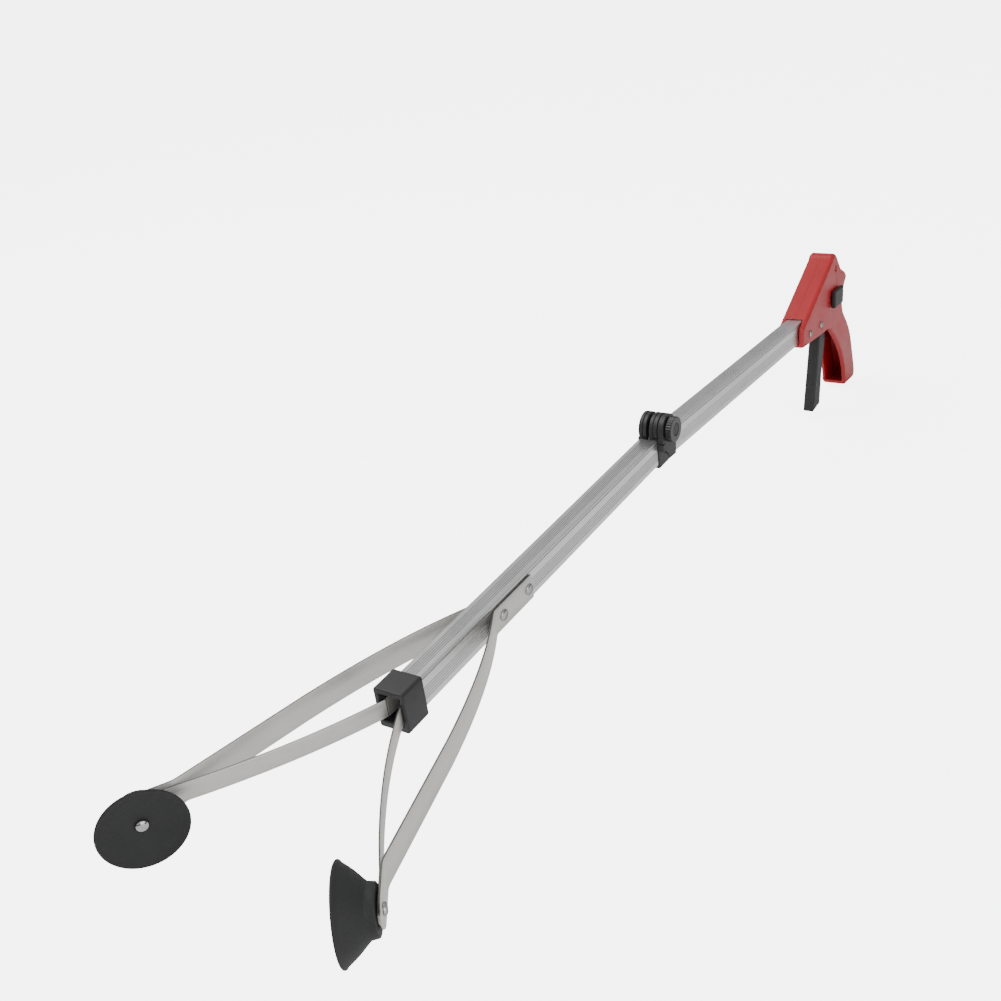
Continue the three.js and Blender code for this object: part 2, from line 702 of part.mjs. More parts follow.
function hingeCable() {
  const frontZ = -FRONT_AXIS_DROP;
  const rearZ = -REAR_AXIS_DROP + CABLE_HEIGHT;
  const over = HINGE_PIN_RADIUS + GAP + CABLE_RADIUS;
  const rearEnd = new THREE.Vector2(-CABLE_BEND_REACH, rearZ);
  rearEnd.rotateAround(new THREE.Vector2(0, 0), HINGE_SAG);
  const points = [
    [CABLE_BEND_REACH, frontZ],
    [CABLE_BEND_REACH - 12, frontZ + 0.3],
    [18, frontZ + 2.2],
    [9, frontZ + 6.6],
    [4, over - 2.2],
    [0, over + 0.2],
    [-4, over - 2.2],
    [-9.5, frontZ + 6.4],
    [-18, frontZ + 1.6],
    [rearEnd.x + 10, rearEnd.y + 0.6],
    [rearEnd.x, rearEnd.y],
  ];
  const path = new THREE.CatmullRomCurve3(points.map(([x, z]) => vector(x, CABLE_SLOT_MIDDLE, z)));
  return new THREE.ExtrudeGeometry(wireSection(CABLE_RADIUS, 6), { steps: 28, extrudePath: path });
}

// ---------------------------------------------------------------- handle

// Side outlines in the handle's frame: x = 0 at the front face, z = 0 on the rear tube's axis.

function handleOutline() {
  const outline = new THREE.Shape();
  outline.moveTo(0, -7.5);
  outline.lineTo(0, 4.5);
  outline.lineTo(-69, 43);
  outline.bezierCurveTo(-73, 49.5, -80, 47, -83, 43.2);
  outline.lineTo(-94, 30.8);
  outline.lineTo(-105.5, 25);
  outline.bezierCurveTo(-110.5, 21.5, -110.5, 18.5, -107.5, 16.5);
  outline.bezierCurveTo(-101, 12, -98.5, 0, -101.5, -6.5);
  outline.bezierCurveTo(-105.5, -14.5, -123, -24, -130.5, -46);
  outline.lineTo(-140.3, -71.5);
  outline.quadraticCurveTo(-142.2, -80, -136.5, -81.6);
  outline.lineTo(-116, -81.2);
  outline.quadraticCurveTo(-111.2, -80, -111.9, -74);
  outline.bezierCurveTo(-107.5, -52, -93, -36, -69.4, -17.2);
  outline.quadraticCurveTo(-66, -15, -61.7, -14.9);
  outline.lineTo(-50, -14.9);
  outline.lineTo(-6, -12.7);
  outline.quadraticCurveTo(0, -12.4, 0, -7.5);
  return outline;
}

// The hollow between the side walls: round the tube end and the trigger, and down the grip, where
// it opens forward.
function hollowOutline() {
  const outline = new THREE.Shape();
  outline.moveTo(-SHELL_WALL, -9.4);
  outline.lineTo(-SHELL_WALL, 2.8);
  outline.lineTo(-68, 38.9);
  outline.quadraticCurveTo(-75, 44.5, -81, 40.8);
  outline.lineTo(-91, 29);
  outline.lineTo(-97.4, 25.6);
  outline.bezierCurveTo(-97.2, 12, -95.6, 0, -98.6, -7.5);
  outline.bezierCurveTo(-103, -16, -120, -25, -127.5, -47);
  outline.lineTo(-137.2, -72.3);
  outline.lineTo(-137.6, -78.4);
  outline.lineTo(-115, -78.2);
  outline.lineTo(-105, -74);
  outline.bezierCurveTo(-101, -54, -86, -40, -60, -20);
  outline.lineTo(-56, -20);
  outline.lineTo(-56, -9.4);
  outline.closePath();
  return outline;
}

function triggerPinHole() {
  const [pivotX, pivotZ] = TRIGGER_PIVOT;
  const reach = HANDLE_HALF_WIDTH + 2;
  return crossRod(pivotX, pivotZ, TRIGGER_PIN_RADIUS + GAP, [-reach, reach], 20);
}

const SHELL_RIVETS = [[-17.5, -4.2], [-43.8, -4.6]];
const SHELL_INNER_HALF = HANDLE_HALF_WIDTH - SHELL_WALL;
const SHELL_BEVEL = 1.8;
const PIVOT_BOSS_RADIUS = 4.8;
const LOCK_SLOT = { x: [-86.6, -67.3], z: [7, 13.5] };
const LOCK_TRAVEL = 12;

function handleBody() {
  const walls = plate(handleOutline(), [-HANDLE_HALF_WIDTH, HANDLE_HALF_WIDTH], SHELL_BEVEL);
  const hollow = plate(hollowOutline(), [-SHELL_INNER_HALF, SHELL_INNER_HALF]);
  const tubeY = TUBE_WIDTH / 2 + GAP;
  const tubeZ = TUBE_HEIGHT / 2 + GAP;
  const tubePassage = box([-TUBE_IN_HANDLE - GAP, 5], [-tubeY, tubeY], [-tubeZ, tubeZ]);
  const [pivotX, pivotZ] = TRIGGER_PIVOT;
  const bossY = [TRIGGER_HALF_WIDTH + GAP, SHELL_INNER_HALF + 0.5];
  const boss = crossRod(pivotX, pivotZ, PIVOT_BOSS_RADIUS, bossY, 20);
  const hollowed = join(cut(walls, hollow, tubePassage), boss, mirrored(boss));
  const rivetCuts = SHELL_RIVETS.map(([x, z]) => rivetHole(x, z));
  return cut(hollowed, ...rivetCuts, triggerPinHole());
}

function handleShells() {
  const body = handleBody();
  const wholeX = [-150, 10];
  const wholeZ = [-100, 60];
  const outside = HANDLE_HALF_WIDTH + 5;
  const left = common(body, box(wholeX, [GAP / 2, outside], wholeZ));
  const right = common(body, box(wholeX, [-outside, -GAP / 2], wholeZ));
  const slot = box(LOCK_SLOT.x, [SHELL_INNER_HALF - 2, outside], LOCK_SLOT.z);
  return { left: cut(left, slot), right };
}

function shellRivet() {
  const outside = HANDLE_HALF_WIDTH + 0.1;
  const inside = TUBE_WIDTH / 2 - TUBE_WALL - GAP;
  return rivet({
    head: 3,
    dome: 1.4,
    grip: outside - inside,
    tail: 2.2,
    tailLength: 1.6,
  });
}

// ---------------------------------------------------------------- trigger and lock

function triggerOutline() {
  const [pivotX, pivotZ] = TRIGGER_PIVOT;
  const outline = new THREE.Shape();
  outline.moveTo(-62.5, -80.6);
  outline.lineTo(-46, -83);
  outline.lineTo(-51.7, -55);
  outline.lineTo(-57.4, -27.5);
  outline.lineTo(-59.6, -14);
  outline.lineTo(-64, 2);
  outline.lineTo(pivotX + LEVER_RADIUS, pivotZ - 1);
  outline.absarc(pivotX, pivotZ, LEVER_RADIUS, 0, Math.PI, false);
  outline.lineTo(-80.5, 14);
  outline.lineTo(-77.6, 0);
  outline.lineTo(-74, -15);
  outline.lineTo(-72.2, -26.8);
  outline.lineTo(-65.8, -53.5);
  outline.closePath();
  return outline;
}

const TRIGGER_BEVEL = 0.7;
const NIPPLE_PLAY = 1.3;             // the nipple slides straight while its seat swings
const CABLE_WAY = { halfWidth: 1.4, below: 2.4, above: 6.8 };

function trigger() {
  const halfWidth = TRIGGER_HALF_WIDTH;
  const blade = plate(triggerOutline(), [-halfWidth, halfWidth], TRIGGER_BEVEL);
  const seatY = [-halfWidth - 1, halfWidth + 1];
  const seat = crossRod(NIPPLE_X, CABLE_HEIGHT, NIPPLE_RADIUS + NIPPLE_PLAY, seatY, 20);
  const cableWay = box(
    [NIPPLE_X, NIPPLE_X + 14],
    [-CABLE_WAY.halfWidth, CABLE_WAY.halfWidth],
    [CABLE_HEIGHT - CABLE_WAY.below, CABLE_HEIGHT + CABLE_WAY.above],
  );
  return cut(blade, seat, cableWay, triggerPinHole());
}

const LOCK_BUTTON = { x: [-87.6, -66.6], z: [3, 17.5], height: 4.4, bevel: 0.8 };

// The lock's button slides on the left shell and hides the slot. A neck goes through the slot to a
// clip behind it.
function lockSlider() {
  const { x, z, height, bevel } = LOCK_BUTTON;
  const outline = polygon([x[0], z[0]], [x[1], z[0]], [x[1], z[1]], [x[0], z[1]]);
  const underside = HANDLE_HALF_WIDTH + GAP;
  const button = plate(outline, [underside, HANDLE_HALF_WIDTH + height], bevel);
  const neckX = [LOCK_SLOT.x[0] + GAP, LOCK_SLOT.x[1] - GAP - LOCK_TRAVEL];
  const neckZ = [LOCK_SLOT.z[0] + GAP, LOCK_SLOT.z[1] - GAP];
  const clipY = [TRIGGER_HALF_WIDTH + 0.5, SHELL_INNER_HALF - GAP];
  const clip = box(neckX, clipY, [LOCK_SLOT.z[0] - 2, LOCK_SLOT.z[1] + 2]);
  return join(button, box(neckX, [clipY[0] + 1, underside + 1], neckZ), clip);
}

// ---------------------------------------------------------------- assembly

function frontHalf() {
  const group = new THREE.Group();
  const armHoles = ARM_RIVETS_X.map((x) => rivetHole(x + NOSE_X, STRIP_Z));
  const tube = cut(beam(tubeSection(), [FRONT_TUBE_BACK, NOSE_X - GAP]), ...armHoles);
  group.add(node('front_tube', tube, aluminium));

  const cableBack = HINGE_X + CABLE_BEND_REACH + GAP;
  const cableFront = NOSE_X + CLAMP_X[0] + CLAMP_SOCKET_DEPTH - 0.5;
  const cable = rod(vector(cableBack, 0, 0), vector(cableFront, 0, 0), CABLE_RADIUS, 10);
  group.add(node('cable_front', cable, cableSteel));

  group.position.z = AXIS_Z;
  return group;
}

function nose() {
  const group = new THREE.Group();
  group.add(node('nose_cap', noseCap(), blackPlastic));
  group.add(node('strip_clamp', stripClamp(), rivetSteel));
  group.add(node('clamp_rivet', clampRivet(), rivetSteel));

  const rivetSeat = ARM_ROOT_Y + ARM.thickness / 2 + 0.1;
  const armRivet = rivet({
    head: 3.25,
    dome: 1.5,
    grip: rivetSeat - (TUBE_WIDTH / 2 - TUBE_WALL - GAP),
    tail: 2.3,
    tailLength: 1.8,
  });
  const pieces = {
    arm_root: [armRoot(), springSteel],
    arm_middle: [armMiddle(), springSteel],
    arm_tip: [armTip(), springSteel],
    inner_strip: [innerStrip(), springSteel],
    inner_strip_end: [innerStripEnd(), springSteel],
    strip_tail: [stripTail(), springSteel],
    suction_cup: [cup(), blackRubber],
    cup_rivet: [cupRivet(), rivetSteel],
    arm_rivet_rear: [armRivet.clone().translate(ARM_RIVETS_X[0], rivetSeat, STRIP_Z), rivetSteel],
    arm_rivet_front: [armRivet.clone().translate(ARM_RIVETS_X[1], rivetSeat, STRIP_Z), rivetSteel],
  };
  for (const [name, [geometry, look]] of Object.entries(pieces)) {
    group.add(node(`left_${name}`, geometry, look));
    group.add(node(`right_${name}`, mirrored(geometry), look));
  }
  group.position.set(NOSE_X, 0, AXIS_Z);
  return group;
}

function hinge() {
  const group = new THREE.Group();
  group.add(node('front_hinge_fitting', frontFitting(), blackPlastic));
  group.add(node('hinge_pin', hingePin(), rivetSteel));
  group.add(node('hinge_knob', hingeKnob(), blackPlastic));
  group.add(node('knob_cap', knobCap(), blackPlastic));
  group.add(node('knob_spring', knobSpring(), cableSteel));
  group.add(node('hinge_cable', hingeCable(), cableSteel));
  group.position.set(HINGE_X, 0, HINGE_Z);
  return group;
}

function handle() {
  const group = new THREE.Group();
  const shells = handleShells();
  group.add(node('left_handle_shell', shells.left, redPlastic));
  group.add(node('right_handle_shell', shells.right, redPlastic));
  group.add(node('trigger', trigger(), blackPlastic));
  group.add(node('lock_slider', lockSlider(), blackPlastic));

  const [pivotX, pivotZ] = TRIGGER_PIVOT;
  const pinReach = HANDLE_HALF_WIDTH - 0.8;
  const pin = crossRod(pivotX, pivotZ, TRIGGER_PIN_RADIUS, [-pinReach, pinReach], 20);
  group.add(node('trigger_pin', pin, redPlastic));
  const nipple = crossRod(NIPPLE_X, CABLE_HEIGHT, NIPPLE_RADIUS, [-3.5, 3.5], 16);
  group.add(node('cable_nipple', nipple, rivetSteel));

  const seat = HANDLE_HALF_WIDTH + 0.1;
  SHELL_RIVETS.forEach(([x, z], i) => {
    const name = ['front', 'rear'][i];
    const placed = shellRivet().translate(x, seat, z);
    group.add(node(`left_shell_rivet_${name}`, placed, rivetSteel));
    group.add(node(`right_shell_rivet_${name}`, mirrored(placed), rivetSteel));
  });
  group.position.set(HANDLE_X, 0, -REAR_AXIS_DROP);
  return group;
}

function rearHalf() {
  const group = new THREE.Group();
  group.add(node('rear_hinge_fitting', rearFitting(), blackPlastic));

  const tubeBack = HANDLE_X - TUBE_IN_HANDLE;
  const holes = SHELL_RIVETS.map(([x, z]) => rivetHole(x + HANDLE_X, z));
  const tube = cut(beam(tubeSection(), [tubeBack, REAR_TUBE_START]), ...holes);
  group.add(node('rear_tube', tube.translate(0, 0, -REAR_AXIS_DROP), aluminium));

  const cableZ = -REAR_AXIS_DROP + CABLE_HEIGHT;
  const cableBack = HANDLE_X + NIPPLE_X + NIPPLE_RADIUS + GAP;
  const cableFront = -CABLE_BEND_REACH - 1;
  const cable = rod(vector(cableBack, 0, cableZ), vector(cableFront, 0, cableZ), CABLE_RADIUS, 10);
  group.add(node('cable_rear', cable, cableSteel));
  group.add(handle());
  group.position.set(HINGE_X, 0, HINGE_Z);
  group.rotation.y = -HINGE_SAG;
  return group;
}

const reacher = new THREE.Group();
reacher.add(frontHalf(), nose(), hinge(), rearHalf());

export default reacher;
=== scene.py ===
"""The looks of the folding reacher grabber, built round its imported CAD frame.

The scene uses the part's own frame: X forward to the jaws, Y left, Z up. Blender works in metres;
the drawings in this script are in millimetres and go through MM once, when a mesh is made.
"""

import json
import math

import bmesh
import bpy
from mathutils import Matrix, Vector

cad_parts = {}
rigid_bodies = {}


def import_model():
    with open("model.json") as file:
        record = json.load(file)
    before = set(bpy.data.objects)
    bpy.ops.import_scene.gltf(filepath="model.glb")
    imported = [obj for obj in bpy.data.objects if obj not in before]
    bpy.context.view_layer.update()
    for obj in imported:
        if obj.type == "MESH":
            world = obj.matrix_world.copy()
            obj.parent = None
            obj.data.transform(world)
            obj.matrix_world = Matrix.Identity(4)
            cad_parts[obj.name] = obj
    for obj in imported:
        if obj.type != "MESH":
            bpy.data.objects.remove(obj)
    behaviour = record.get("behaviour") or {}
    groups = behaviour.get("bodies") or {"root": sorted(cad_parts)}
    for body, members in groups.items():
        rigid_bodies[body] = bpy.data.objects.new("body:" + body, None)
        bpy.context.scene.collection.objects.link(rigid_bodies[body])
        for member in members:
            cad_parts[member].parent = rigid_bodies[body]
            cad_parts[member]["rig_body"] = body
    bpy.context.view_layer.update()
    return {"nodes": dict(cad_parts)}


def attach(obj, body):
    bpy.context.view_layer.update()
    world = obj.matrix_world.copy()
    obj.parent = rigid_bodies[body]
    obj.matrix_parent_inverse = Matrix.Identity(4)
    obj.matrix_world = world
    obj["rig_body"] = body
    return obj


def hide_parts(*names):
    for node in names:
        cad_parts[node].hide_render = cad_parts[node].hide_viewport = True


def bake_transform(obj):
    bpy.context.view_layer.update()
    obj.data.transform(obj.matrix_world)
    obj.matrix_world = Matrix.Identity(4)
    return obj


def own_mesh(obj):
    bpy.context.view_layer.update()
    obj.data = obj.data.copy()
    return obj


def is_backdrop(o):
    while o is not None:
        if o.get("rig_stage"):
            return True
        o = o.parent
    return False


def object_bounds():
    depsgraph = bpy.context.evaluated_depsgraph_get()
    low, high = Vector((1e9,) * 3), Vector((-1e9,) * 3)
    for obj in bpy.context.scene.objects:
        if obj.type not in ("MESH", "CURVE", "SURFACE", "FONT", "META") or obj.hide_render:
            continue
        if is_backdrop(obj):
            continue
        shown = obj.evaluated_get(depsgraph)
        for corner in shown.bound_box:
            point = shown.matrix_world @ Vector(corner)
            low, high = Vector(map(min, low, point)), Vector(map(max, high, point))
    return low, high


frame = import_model()

# ------------------------------------------------------------------ shared dimensions, millimetres

MM = 0.001
NOSE = Vector((214.5, 0, 9))          # rear face of the nose cap, on the front tube's axis
HINGE = Vector((-60, 0, 22.5))        # fold hinge pin
SAG = math.radians(4.43)              # how far the rear half hangs from the front half
STRIP_Z = -1.15                       # middle of the spring-steel strips, from the tube's axis
ARM = {"thickness": 0.8, "half": 7.35, "end": 0.3}
INNER = {"thickness": 0.6, "half": 5.2, "end": 1.2}
TAB_ANGLE = math.radians(34)
CUP_RIVET = Vector((115.4, 68.7))     # in plan, from NOSE
INNER_LAYER = 1.0                     # inner strip's middle, in from the middle of the arm's tab
CUP_LAYER = 1.6                       # cup's back, in from the middle of the arm's tab
SIDES = {"left": 1, "right": -1}

# ------------------------------------------------------------------ materials


PATCHES_PER_METRE = 45                # how fine the patches of wear are


def add_node(tree, kind, **inputs):
    """A new shader node with some inputs set. An underscore in a name stands for a space."""
    node = tree.nodes.new(f"ShaderNode{kind}")
    for name, value in inputs.items():
        node.inputs[name.replace("_", " ")].default_value = value
    return node


def wire(tree, source, output, target, socket):
    tree.links.new(source.outputs[output], target.inputs[socket])


def surface(name, color, metallic, roughness, grain, bump, wear, space="Object", turn=0.0):
    """A procedural finish: a fine grain stretched by the three grain scales (per metre), which
    raises a bump (metres) and varies the roughness, and broad soft patches of wear."""
    material = bpy.data.materials.new(name)
    material.use_nodes = True
    tree = material.node_tree
    shader = tree.nodes["Principled BSDF"]
    shader.inputs["Metallic"].default_value = metallic

    place = add_node(tree, "TexCoord")
    mapping = add_node(tree, "Mapping", Scale=grain, Rotation=(0, turn, 0))
    wire(tree, place, space, mapping, "Vector")
    fine = add_node(tree, "TexNoise", Scale=1, Detail=4)
    wire(tree, mapping, "Vector", fine, "Vector")
    patches = add_node(tree, "TexNoise", Scale=PATCHES_PER_METRE, Detail=5)
    wire(tree, place, "Object", patches, "Vector")

    # Roughness: the base value, moved up and down by the grain and by the patches.
    both = add_node(tree, "Math")
    both.operation = "ADD"
    wire(tree, fine, "Fac", both, 0)
    wire(tree, patches, "Fac", both, 1)
    rough = add_node(
        tree,
        "MapRange",
        From_Min=0.6,
        From_Max=1.4,
        To_Min=roughness - wear,
        To_Max=roughness + wear,
    )
    wire(tree, both, "Value", rough, "Value")
    wire(tree, rough, "Result", shader, "Roughness")

    # Colour: slightly darker in the grain's valleys, slightly lighter where the patches are worn.
    shade = add_node(tree, "ValToRGB")
    valley, worn = shade.color_ramp.elements
    valley.position = 0.25
    worn.position = 0.75
    contrast = 0.9 * wear
    valley.color = (*[channel * (1 - contrast) for channel in color], 1)
    worn.color = (*[min(1, channel * (1 + contrast)) for channel in color], 1)
    blend = add_node(tree, "Mix", Factor=0.4)
    wire(tree, fine, "Fac", blend, "A")
    wire(tree, patches, "Fac", blend, "B")
    wire(tree, blend, "Result", shade, "Fac")
    wire(tree, shade, "Color", shader, "Base Color")

    raised = add_node(tree, "Bump", Strength=0.6, Distance=bump)
    wire(tree, fine, "Fac", raised, "Height")
    wire(tree, raised, "Normal", shader, "Normal")
    return material


TUBE_COLOR = (0.72, 0.72, 0.72)
STRIP_COLOR = (0.62, 0.605, 0.58)

LOOKS = {
    "front_tube": surface(
        "satin_aluminium", TUBE_COLOR, 0.95, 0.3, (60, 5000, 5000), 2e-5, 0.09
    ),
    "rear_tube": surface(
        "satin_aluminium_rear", TUBE_COLOR, 0.95, 0.3, (60, 5000, 5000), 2e-5, 0.09, turn=-SAG
    ),
    # painted shade: a darker aluminium for the walls of the fine grooves, standing for the shade that
    # falls in them
    "groove": surface(
        "aluminium_painted_groove_shade", (0.4, 0.4, 0.4), 0.9, 0.5, (60, 5000, 5000), 2e-5, 0.09
    ),
    # painted shade: near-black walls for the groove just below the tube's top corner, a painted dark line
    # beneath the corner's highlight
    "corner_groove_painted_shade": surface(
        "aluminium_painted_dark_line", (0.07, 0.07, 0.07), 0.8, 0.6, (60, 5000, 5000), 2e-5, 0.09
    ),
    "strip": surface(
        "brushed_spring_steel", STRIP_COLOR, 0.6, 0.42, (22, 2200, 1), 3e-5, 0.15, space="UV"
    ),
    # painted shadow: a near-black finish for the strips' top and bottom edge faces, standing for the
    # shadow line along their edges
    "strip_edge_painted_shadow": surface(
        "spring_steel_painted_edge_shadow", (0.11, 0.11, 0.105), 0.6, 0.5, (900, 900, 900), 3e-5, 0.12
    ),
    "rivet": surface(
        "polished_rivet_steel", (0.46, 0.46, 0.455), 1.0, 0.12, (900, 900, 900), 1e-5, 0.05
    ),
    "cable": surface("steel_cable", (0.3, 0.3, 0.3), 0.9, 0.45, (700, 2500, 2500), 2e-4, 0.1),
    "plastic": surface(
        "black_plastic", (0.018, 0.018, 0.019), 0.0, 0.5, (2200, 2200, 2200), 4e-5, 0.1
    ),
    "knob": surface(
        "glossy_black_plastic", (0.012, 0.012, 0.013), 0.0, 0.25, (1500, 1500, 1500), 2e-5, 0.08
    ),
    "rubber": surface(
        "black_rubber", (0.013, 0.0135, 0.0135), 0.0, 0.7, (1600, 1600, 1600), 6e-5, 0.1
    ),
    "red": surface(
        "red_plastic", (0.42, 0.012, 0.016), 0.0, 0.4, (1800, 1800, 1800), 4e-5, 0.09
    ),
}


def paint_rim_reflection(material):
    """Paints a dark reflection into a polished dome's colour, darker towards its rim, where it would
    mirror the dark gap beneath its head.
    """
    tree = material.node_tree
    shader = tree.nodes["Principled BSDF"]
    color = shader.inputs["Base Color"].links[0].from_socket
    rim = add_node(tree, "LayerWeight")
    fade = add_node(tree, "MapRange", From_Min=0.35, From_Max=0.75, To_Min=1, To_Max=0.12)
    fade.interpolation_type = "SMOOTHSTEP"
    wire(tree, rim, "Facing", fade, "Value")
    shaded = add_node(tree, "VectorMath")
    shaded.operation = "SCALE"
    tree.links.new(color, shaded.inputs["Vector"])
    wire(tree, fade, "Result", shaded, "Scale")
    wire(tree, shaded, "Vector", shader, "Base Color")


# painted reflection: everything with the rivet finish darkens towards its rims
paint_rim_reflection(LOOKS["rivet"])

# ------------------------------------------------------------------ meshes


def paint(piece, look):
    piece.data.materials.clear()
    piece.data.materials.append(LOOKS[look])


def shade(mesh, angle=32):
    """Smooth shading, broken along every edge sharper than the angle in degrees."""
    work = bmesh.new()
    work.from_mesh(mesh)
    bmesh.ops.recalc_face_normals(work, faces=work.faces)
    for face in work.faces:
        face.smooth = True
    for edge in work.edges:
        folded = len(edge.link_faces) != 2 or edge.calc_face_angle(0) > math.radians(angle)
        edge.smooth = not folded
    work.to_mesh(mesh)
    work.free()


def add_piece(name, points, faces, look, angle=32):
    mesh = bpy.data.meshes.new(name)
    mesh.from_pydata([point * MM for point in points], [], faces)
    mesh.validate()
    shade(mesh, angle)
    piece = bpy.data.objects.new(name, mesh)
    bpy.context.scene.collection.objects.link(piece)
    paint(piece, look)
    return piece


def apply_modifiers(piece):
    graph = bpy.context.evaluated_depsgraph_get()
    final = bpy.data.meshes.new_from_object(piece.evaluated_get(graph))
    piece.modifiers.clear()
    old = piece.data
    piece.data = final
    bpy.data.meshes.remove(old)


MERGE = 0.002                         # vertices nearer than this are one
FLAT = math.radians(0.6)              # faces that meet at less than this are one
SHARP = math.radians(28)              # edges that fold by more than this are rounded
PARTING_Y = 0.02                      # where a parting plane's vertices are brought


def soften(node, look, width, segments=3, parting=None):
    """A copy of a moulded or extruded CAD node with all its sharp edges rounded. It stands for
    the node and rides on the node's body. Vertices on a parting plane, which lies within a
    distance of y = 0, are brought together, and their edges stay nearly sharp."""
    source = frame["nodes"][node]
    mesh = source.data.copy()
    work = bmesh.new()
    work.from_mesh(mesh)
    bmesh.ops.remove_doubles(work, verts=work.verts, dist=MERGE * MM)
    bmesh.ops.dissolve_limit(work, angle_limit=FLAT, verts=work.verts, edges=work.edges)
    on_parting = set()
    if parting:
        on_parting = {v for v in work.verts if abs(v.co.y) < parting * MM}
        for vertex in on_parting:
            vertex.co.y = math.copysign(PARTING_Y * MM, vertex.co.y)
    weight = work.edges.layers.float.new("bevel_weight_edge")
    for edge in work.edges:
        if edge.calc_face_angle(0) > SHARP:
            edge[weight] = 0.1 if on_parting.issuperset(edge.verts) else 1
    work.to_mesh(mesh)
    work.free()
    piece = bpy.data.objects.new(f"{node}_soft", mesh)
    bpy.context.scene.collection.objects.link(piece)
    bevel = piece.modifiers.new("rounding", "BEVEL")
    bevel.width = width * MM
    bevel.segments = segments
    bevel.limit_method = "WEIGHT"
    bevel.use_clamp_overlap = False
    apply_modifiers(piece)
    shade(piece.data, 50)
    flatten = piece.modifiers.new("flat_faces", "WEIGHTED_NORMAL")
    flatten.keep_sharp = True
    apply_modifiers(piece)
    paint(piece, look)
    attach(piece, source["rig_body"])
    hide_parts(node)
    return piece


def lathe(name, profile, origin, axis, look, steps=64, angle=32):
    """A turned solid. The profile is a list of (radius, height along the axis), which starts and
    ends on the axis or else is closed."""
    turn = Vector((0, 0, 1)).rotation_difference(Vector(axis))
    points = []
    rings = []
    for radius, height in profile:
        if radius < 1e-6:
            rings.append([len(points)] * steps)
            points.append(origin + turn @ Vector((0, 0, height)))
            continue
        ring = []
        for i in range(steps):
            a = 2 * math.pi * i / steps
            ring.append(len(points))
            on_ring = Vector((radius * math.cos(a), radius * math.sin(a), height))
            points.append(origin + turn @ on_ring)
        rings.append(ring)
    faces = []
    closed = profile[0][0] > 1e-6
    spans = len(rings) if closed else len(rings) - 1
    for k in range(spans):
        low, high = rings[k], rings[(k + 1) % len(rings)]
        for i in range(steps):
            j = (i + 1) % steps
            corners = []
            for corner in (low[i], low[j], high[j], high[i]):
                if corner not in corners:
                    corners.append(corner)
            if len(corners) > 2:
                faces.append(corners)
    return add_piece(name, points, faces, look, angle)


def arc(centre, radius, start, end, steps):
    """Points (r, h) of an arc from one angle to another, in degrees."""
    points = []
    for i in range(steps + 1):
        a = math.radians(start + (end - start) * i / steps)
        points.append((centre[0] + radius * math.cos(a), centre[1] + radius * math.sin(a)))
    return points


# ------------------------------------------------------------------ strips


def quadratic(start, control, end, steps):
    """Points of a quadratic curve, all but the last one."""
    points = []
    for i in range(steps):
        t = i / steps
        points.append(start * (1 - t) ** 2 + control * (2 * t * (1 - t)) + end * t * t)
    return points


def with_rounded_corner(before, corner, after, reach, steps=6):
    """The bend at a corner, drawn as a soft curve that leaves the lines a reach away from it."""
    start = corner + (before - corner).normalized() * reach
    end = corner + (after - corner).normalized() * reach
    return quadratic(start, corner, end, steps) + [end]


def tab_point(along, inward):
    forward = Vector((math.cos(TAB_ANGLE), math.sin(TAB_ANGLE)))
    facing = Vector((math.sin(TAB_ANGLE), -math.cos(TAB_ANGLE)))
    return CUP_RIVET + forward * along + facing * inward


def at(line, s):
    """The point and the direction at a distance along a line."""
    for a, b in zip(line, line[1:]):
        step = (b - a).length
        if s <= step + 1e-9:
            return a + (b - a) * (s / step), (b - a).normalized()
        s -= step
    return line[-1].copy(), (line[-1] - line[-2]).normalized()


def line_length(line):
    return sum((b - a).length for a, b in zip(line, line[1:]))


def stations(line, strip_half, start_round, end_round):
    """Where the strip has a cross-section: [(distance along it, half height)]. Its two ends are
    rounded in the plane of the strip with the given radii."""
    length = line_length(line)
    rows = []
    steps = 12
    if start_round:
        for i in range(1, steps):
            a = math.pi / 2 * i / steps
            half = strip_half - start_round + start_round * math.sin(a)
            rows.append((start_round * (1 - math.cos(a)), half))
    distance = 0.0
    travelled = [0.0]
    for a, b in zip(line, line[1:]):
        distance += (b - a).length
        travelled.append(distance)
    for s in travelled:
        if start_round - 1e-6 <= s <= length - end_round + 1e-6:
            rows.append((s, strip_half))
    if end_round:
        if rows[-1][0] < length - end_round - 1e-3:
            rows.append((length - end_round, strip_half))
        for i in range(steps - 1, 0, -1):
            a = math.pi / 2 * i / steps
            half = strip_half - end_round + end_round * math.sin(a)
            rows.append((length - end_round * (1 - math.cos(a)), half))
    return rows


STRIP_CHAMFER = 0.14


